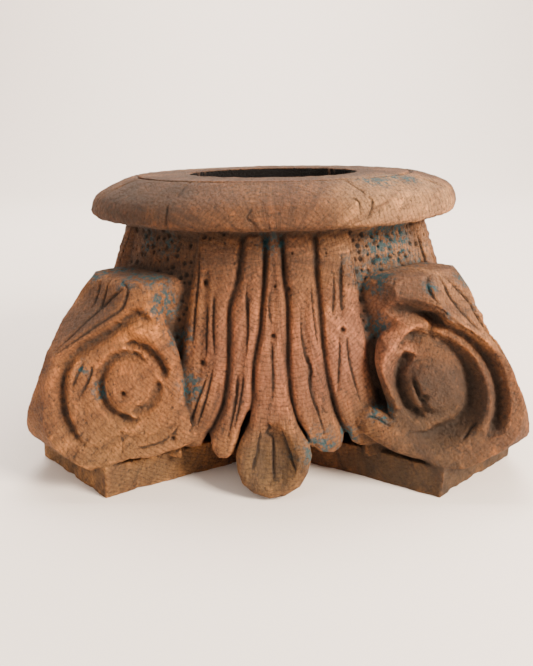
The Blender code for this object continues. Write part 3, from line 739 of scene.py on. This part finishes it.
corners = np.empty(len(finished.vertices) * 3, np.float32)
finished.vertices.foreach_get("co", corners)
corners = corners.reshape(-1, 3) * 1000
index = np.clip(np.round((corners - low) / GRID_PITCH - 0.5).astype(int), 0, shape - 1)
for name, reach in (("hollow", HOLLOW_REACH), ("shelter", SHELTER_REACH)):
    soft = blurred(filled, max(1, round(reach / GRID_PITCH)))
    layer = finished.attributes.new(name, "FLOAT", "POINT")
    layer.data.foreach_set("value", soft[index[:, 0], index[:, 1], index[:, 2]].astype(np.float32))
stain_and_painted_light = np.zeros((len(corners), 4))
turned = [placed_on_side(corners, turn) for turn in range(4)]
for middle, reach, code, strength in STAINS_AND_PAINTED_LIGHT:
    away = np.min([np.linalg.norm(place - np.array(middle), axis=1) for place in turned], 0)
    share = strength * np.exp(-(away / reach) ** 4)
    stain_and_painted_light[:, :3] = stain_and_painted_light[:, :3] * (1 - share[:, None]) + share[:, None] * np.array(srgb(code)[:3])
    stain_and_painted_light[:, 3] = np.maximum(stain_and_painted_light[:, 3], share)
stain_and_painted_light[:, :3] /= np.maximum(stain_and_painted_light[:, 3:], 0.01)
stain_and_light_layer = finished.attributes.new("stain_and_painted_light", "FLOAT_COLOR", "POINT")
stain_and_light_layer.data.foreach_set("color", stain_and_painted_light.astype(np.float32).ravel())
# Where the inside of the socket is coloured near-black.
socket = np.hypot(corners[:, 0], corners[:, 1]) < BLACK_SOCKET_RADIUS
socket &= (corners[:, 2] < BLACK_SOCKET_TOP) & (corners[:, 2] > BLACK_SOCKET_FOOT)
finished.attributes.new("soot", "FLOAT", "POINT").data.foreach_set("value", socket.astype(np.float32))
paint = np.zeros(len(corners))
for px, py, pz, reach in PAINT:
    away = np.min([np.linalg.norm(place - np.array((px, py, pz)), axis=1) for place in turned], 0)
    paint = np.maximum(paint, np.exp(-(away / reach) ** 2))
finished.attributes.new("paint", "FLOAT", "POINT").data.foreach_set("value", paint.astype(np.float32))

# Aged hardwood: dry, matt and a little greyed, so the eye sees an old unvarnished block. Growth
# rings and radial checks run from a pith near the top of the front, and the grain along the depth.
RING_SPACING, GRAIN_WIDTH = 0.0032, 0.0009
PITH, RAY_RADIUS, RAY_ALONG, RAY_OUTWARD = (0.006, 0, 0.180), 0.13, 0.25, 0.14
PATTERNS = [  # name, pitch in metres, detail, roughness, stretch along the grain or None on the rays
    ("grain", 2 * GRAIN_WIDTH, 5.0, 0.7, 0.12), ("checks", 0.0030, 5.0, 0.65, None),
    ("mottle", 0.0022, 6.0, 0.7, 0.6), ("specks", 0.0030, 3.0, 0.6, 0.5),
    ("streaks", 0.011, 7.0, 0.7, None), ("clouds", 0.05, 7.0, 0.65, 1.0),
    ("flakes", 0.005, 5.0, 0.7, 1.0), ("lumps", 0.009, 9.0, 0.72, 1.0)]
BROWNS = ((0.34, "5A3219"), (0.68, "9C6636"), (0.5, "7A4A26"))
# Paler where edges are worn, together with a painted highlight on the ridges.
PALER, WORN_AND_HIGHLIT = (1.65, 1.55, 1.45, 1), (2.1, 1.95, 1.75, 1)
hardwood.use_nodes = True
tree = hardwood.node_tree
shader = tree.nodes["Principled BSDF"]
place = add_node(tree, "ShaderNodeTexCoord").outputs["Object"]
centred = add_node(tree, "ShaderNodeMapping", None,
                   {"Vector": place, "Location": tuple(-c for c in PITH)}).outputs[0]
split = add_node(tree, "ShaderNodeSeparateXYZ", None, {"Vector": centred}).outputs
down = add_node(tree, "ShaderNodeMath", {"operation": "MULTIPLY"}, {0: split[2], 1: -1.0}).outputs[0]
angle = add_node(tree, "ShaderNodeMath", {"operation": "ARCTAN2"}, {0: split[0], 1: down}).outputs[0]
flat = add_node(tree, "ShaderNodeCombineXYZ", None, {0: split[0], 1: split[2]}).outputs[0]
span = add_node(tree, "ShaderNodeVectorMath", {"operation": "LENGTH"}, {0: flat}).outputs["Value"]
ray_parts = {}
for axis, (value, factor) in enumerate(((angle, RAY_RADIUS), (split[1], RAY_ALONG), (span, RAY_OUTWARD))):
    ray_parts[axis] = add_node(tree, "ShaderNodeMath", {"operation": "MULTIPLY"},
                               {0: value, 1: factor}).outputs[0]
rays = add_node(tree, "ShaderNodeCombineXYZ", None, ray_parts).outputs[0]
layers = {"everywhere": 1.0}
layers["rings"] = add_node(tree, "ShaderNodeTexWave", {"wave_type": "RINGS", "rings_direction": "Y"},
                           {"Vector": centred, "Scale": 2 * np.pi / 20 / RING_SPACING, "Distortion": 9.0,
                            "Detail": 4.0, "Detail Scale": 0.6, "Detail Roughness": 0.6}).outputs["Fac"]
for name, pitch, detail, roughness, along in PATTERNS:
    vector = rays
    if along:
        vector = add_node(tree, "ShaderNodeMapping", None,
                          {"Vector": place, "Scale": (1, along, 1)}).outputs[0]
    layers[name] = add_node(tree, "ShaderNodeTexNoise", None,
                            {"Vector": vector, "Scale": 1 / pitch, "Detail": detail,
                             "Roughness": roughness}).outputs["Fac"]
for name in ("hollow", "shelter", "cut", "paint", "soot"):
    layers[name] = add_node(tree, "ShaderNodeAttribute", {"attribute_name": name}).outputs["Fac"]
stain_and_light_in = add_node(tree, "ShaderNodeAttribute", {"attribute_name": "stain_and_painted_light"}).outputs
layers["stain_and_painted_light"] = stain_and_light_in["Alpha"]
left_on = add_node(tree, "ShaderNodeMapRange", None,
                   {"Value": layers["flakes"], "From Min": 0.44, "From Max": 0.56}).outputs[0]
layers["painted"] = add_node(tree, "ShaderNodeMath", {"operation": "MULTIPLY"},
                             {0: layers["paint"], 1: left_on}).outputs[0]
COATS = [  # pattern, from, to, the coat's share at from and at to, colour, blend
    # the stains, with the patches of painted shade and painted highlight among them
    ("stain_and_painted_light", 0.0, 1.0, 0.0, 0.9, stain_and_light_in["Color"], "MIX"),
    ("streaks", 0.48, 0.68, 0.0, 0.65, srgb("6E4426"), "MULTIPLY"),
    ("streaks", 0.48, 0.30, 0.0, 0.8, PALER, "MULTIPLY"),
    ("mottle", 0.52, 0.70, 0.0, 0.6, srgb("5A3A28"), "MULTIPLY"),
    ("mottle", 0.45, 0.26, 0.0, 0.8, PALER, "MULTIPLY"),
    ("rings", 0.0, 0.28, 0.42, 0.0, srgb("331A0C"), "MIX"),
    ("grain", 0.56, 0.70, 0.0, 0.4, srgb("22110A"), "MIX"),
    ("checks", 0.56, 0.69, 0.0, 0.65, srgb("1E0F08"), "MIX"),
    ("specks", 0.59, 0.67, 0.0, 0.7, srgb("180B06"), "MIX"),
    # paler on edges and ridges: wear, and a painted highlight
    ("hollow", 0.45, 0.30, 0.0, 1.0, WORN_AND_HIGHLIT, "MULTIPLY"),
    # darker and greyer deep in the recesses: painted shade, with grime
    ("shelter", 0.50, 0.76, 0.0, 0.85, srgb("24130B"), "MIX"),
    # dark in the hollows and grooves: painted shade
    ("hollow", 0.55, 0.76, 0.0, 0.8, srgb("1A0E09"), "MIX"),
    # dark in the gouged lines and cracks: painted shade
    ("cut", 0.25, 0.9, 0.0, 0.5, srgb("1C100A"), "MIX"),
    ("everywhere", 0.0, 1.0, 0.0, 0.10, srgb("9A8C7C"), "MIX"),
    ("painted", 0.15, 0.6, 0.0, 0.8, srgb("1C4C54"), "MIX"),
    # near-black inside the socket
    ("soot", 0.0, 1.0, 0.0, 1.0, srgb("0E0B0A"), "MIX")]

browns = add_node(tree, "ShaderNodeValToRGB", None, {"Fac": layers["clouds"]})
ramp = browns.color_ramp
for element, (position, code) in zip(ramp.elements, BROWNS[:2]):
    element.position, element.color = position, srgb(code)
ramp.elements.new(BROWNS[2][0]).color = srgb(BROWNS[2][1])
colour = browns.outputs[0]
for pattern, start, stop, first, last, coat, kind in COATS:
    share = add_node(tree, "ShaderNodeMapRange", None,
                     {"Value": layers[pattern], "From Min": start, "From Max": stop,
                      "To Min": first, "To Max": last}).outputs[0]
    colour = add_node(tree, "ShaderNodeMix", {"data_type": "RGBA", "blend_type": kind},
                      {0: share, 6: colour, 7: coat}).outputs[2]
tree.links.new(colour, shader.inputs["Base Color"])
dryness = add_node(tree, "ShaderNodeMapRange", None,
                   {"Value": layers["mottle"], "From Min": 0.3, "From Max": 0.7,
                    "To Min": 0.65, "To Max": 0.9}).outputs[0]
tree.links.new(dryness, shader.inputs["Roughness"])
shader.inputs["IOR"].default_value = 1.5
shader.inputs["Specular IOR Level"].default_value = 0.2
normal = None
for name, distance in (("lumps", 0.0022), ("mottle", 0.0024), ("checks", -0.0024), ("specks", -0.0028),
                       ("grain", 0.0007)):
    inputs = {"Height": layers[name], "Distance": distance, "Strength": 1.0}
    if normal is not None:
        inputs["Normal"] = normal
    normal = add_node(tree, "ShaderNodeBump", None, inputs).outputs[0]
tree.links.new(normal, shader.inputs["Normal"])
finished.materials.clear()
finished.materials.append(hardwood)

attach(wood, "root")
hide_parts("carved_block")

# The plain cream floor, the soft studio lights and the camera.
FLOOR_HALF = 6.0
CREAM = "F6EBE2"
SENSOR, FOCAL_PIXELS, PHOTO_HEIGHT, CAMERA_ROLL = 36, 689.9, 666, -1.071
VIEW_DIRECTION = (-0.03606412, 0.95928912, -0.28011385)
SWEEP_START, SWEEP_RADIUS, SWEEP_TOP, SWEEP_STEPS = 2.5, 1.5, 5.0, 12
bend = [np.pi / 2 * i / SWEEP_STEPS for i in range(SWEEP_STEPS + 1)]
sweep = [(-FLOOR_HALF, 0)] + [(SWEEP_START + SWEEP_RADIUS * np.sin(a), SWEEP_RADIUS * (1 - np.cos(a)))
                              for a in bend] + [(SWEEP_START + SWEEP_RADIUS, SWEEP_TOP)]
floor_mesh = bpy.data.meshes.new("floor")
floor_mesh.from_pydata([(x * FLOOR_HALF, y, z) for y, z in sweep for x in (-1, 1)], [],
                       [(2 * i, 2 * i + 1, 2 * i + 3, 2 * i + 2) for i in range(len(sweep) - 1)])
floor_mesh.shade_smooth()
floor = bpy.data.objects.new("floor", floor_mesh)
bpy.context.scene.collection.objects.link(floor)
# Cream paper: dead matt, so the ground runs into the wall without a line or a shine.
paper = bpy.data.materials.new("cream_paper")
paper.use_nodes = True
paper.node_tree.nodes["Principled BSDF"].inputs["Base Color"].default_value = srgb(CREAM)
paper.node_tree.nodes["Principled BSDF"].inputs["Roughness"].default_value = 1.0
floor_mesh.materials.append(paper)


def add_light(name, place, size, power, colour, target=(0, 0, 0.12)):
    """A square soft light that points at the block, or past it at the paper."""
    data = bpy.data.lights.new(name, "AREA")
    data.size, data.energy, data.color = size, power, srgb(colour)[:3]
    lamp = bpy.data.objects.new(name, data)
    lamp.location = place
    lamp.rotation_euler = (Vector(target) - Vector(place)).to_track_quat("-Z", "Y").to_euler()
    bpy.context.scene.collection.objects.link(lamp)


add_light("key_light", (1.25, -0.95, 0.95), 0.55, 90, "FFF0DE")
add_light("side_light", (-1.6, -1.4, 1.1), 0.8, 13, "FFF6EC")
add_light("top_light", (0.0, 1.6, 3.0), 2.0, 18, "FFFFFF")
add_light("paper_light", (0.0, 1.4, 3.0), 2.5, 300, "FFF8F0", (0, 3.4, 0.3))
world = bpy.data.worlds.new("studio")
world.use_nodes = True
world.node_tree.nodes["Background"].inputs["Color"].default_value = srgb(CREAM)
world.node_tree.nodes["Background"].inputs["Strength"].default_value = 0.82
bpy.context.scene.world = world

camera_data = bpy.data.cameras.new("camera")
camera_data.sensor_fit, camera_data.sensor_height = "VERTICAL", SENSOR
camera_data.lens = FOCAL_PIXELS / PHOTO_HEIGHT * SENSOR
camera_data.clip_start = 0.01
camera = bpy.data.objects.new("camera", camera_data)
forward = Vector(VIEW_DIRECTION).normalized()
camera.matrix_world = (Matrix.Translation(Vector(EYE) / 1000)
                       @ forward.to_track_quat("-Z", "Y").to_matrix().to_4x4()
                       @ Matrix.Rotation(np.radians(CAMERA_ROLL), 4, "Z"))
bpy.context.scene.collection.objects.link(camera)
bpy.context.scene.camera = camera
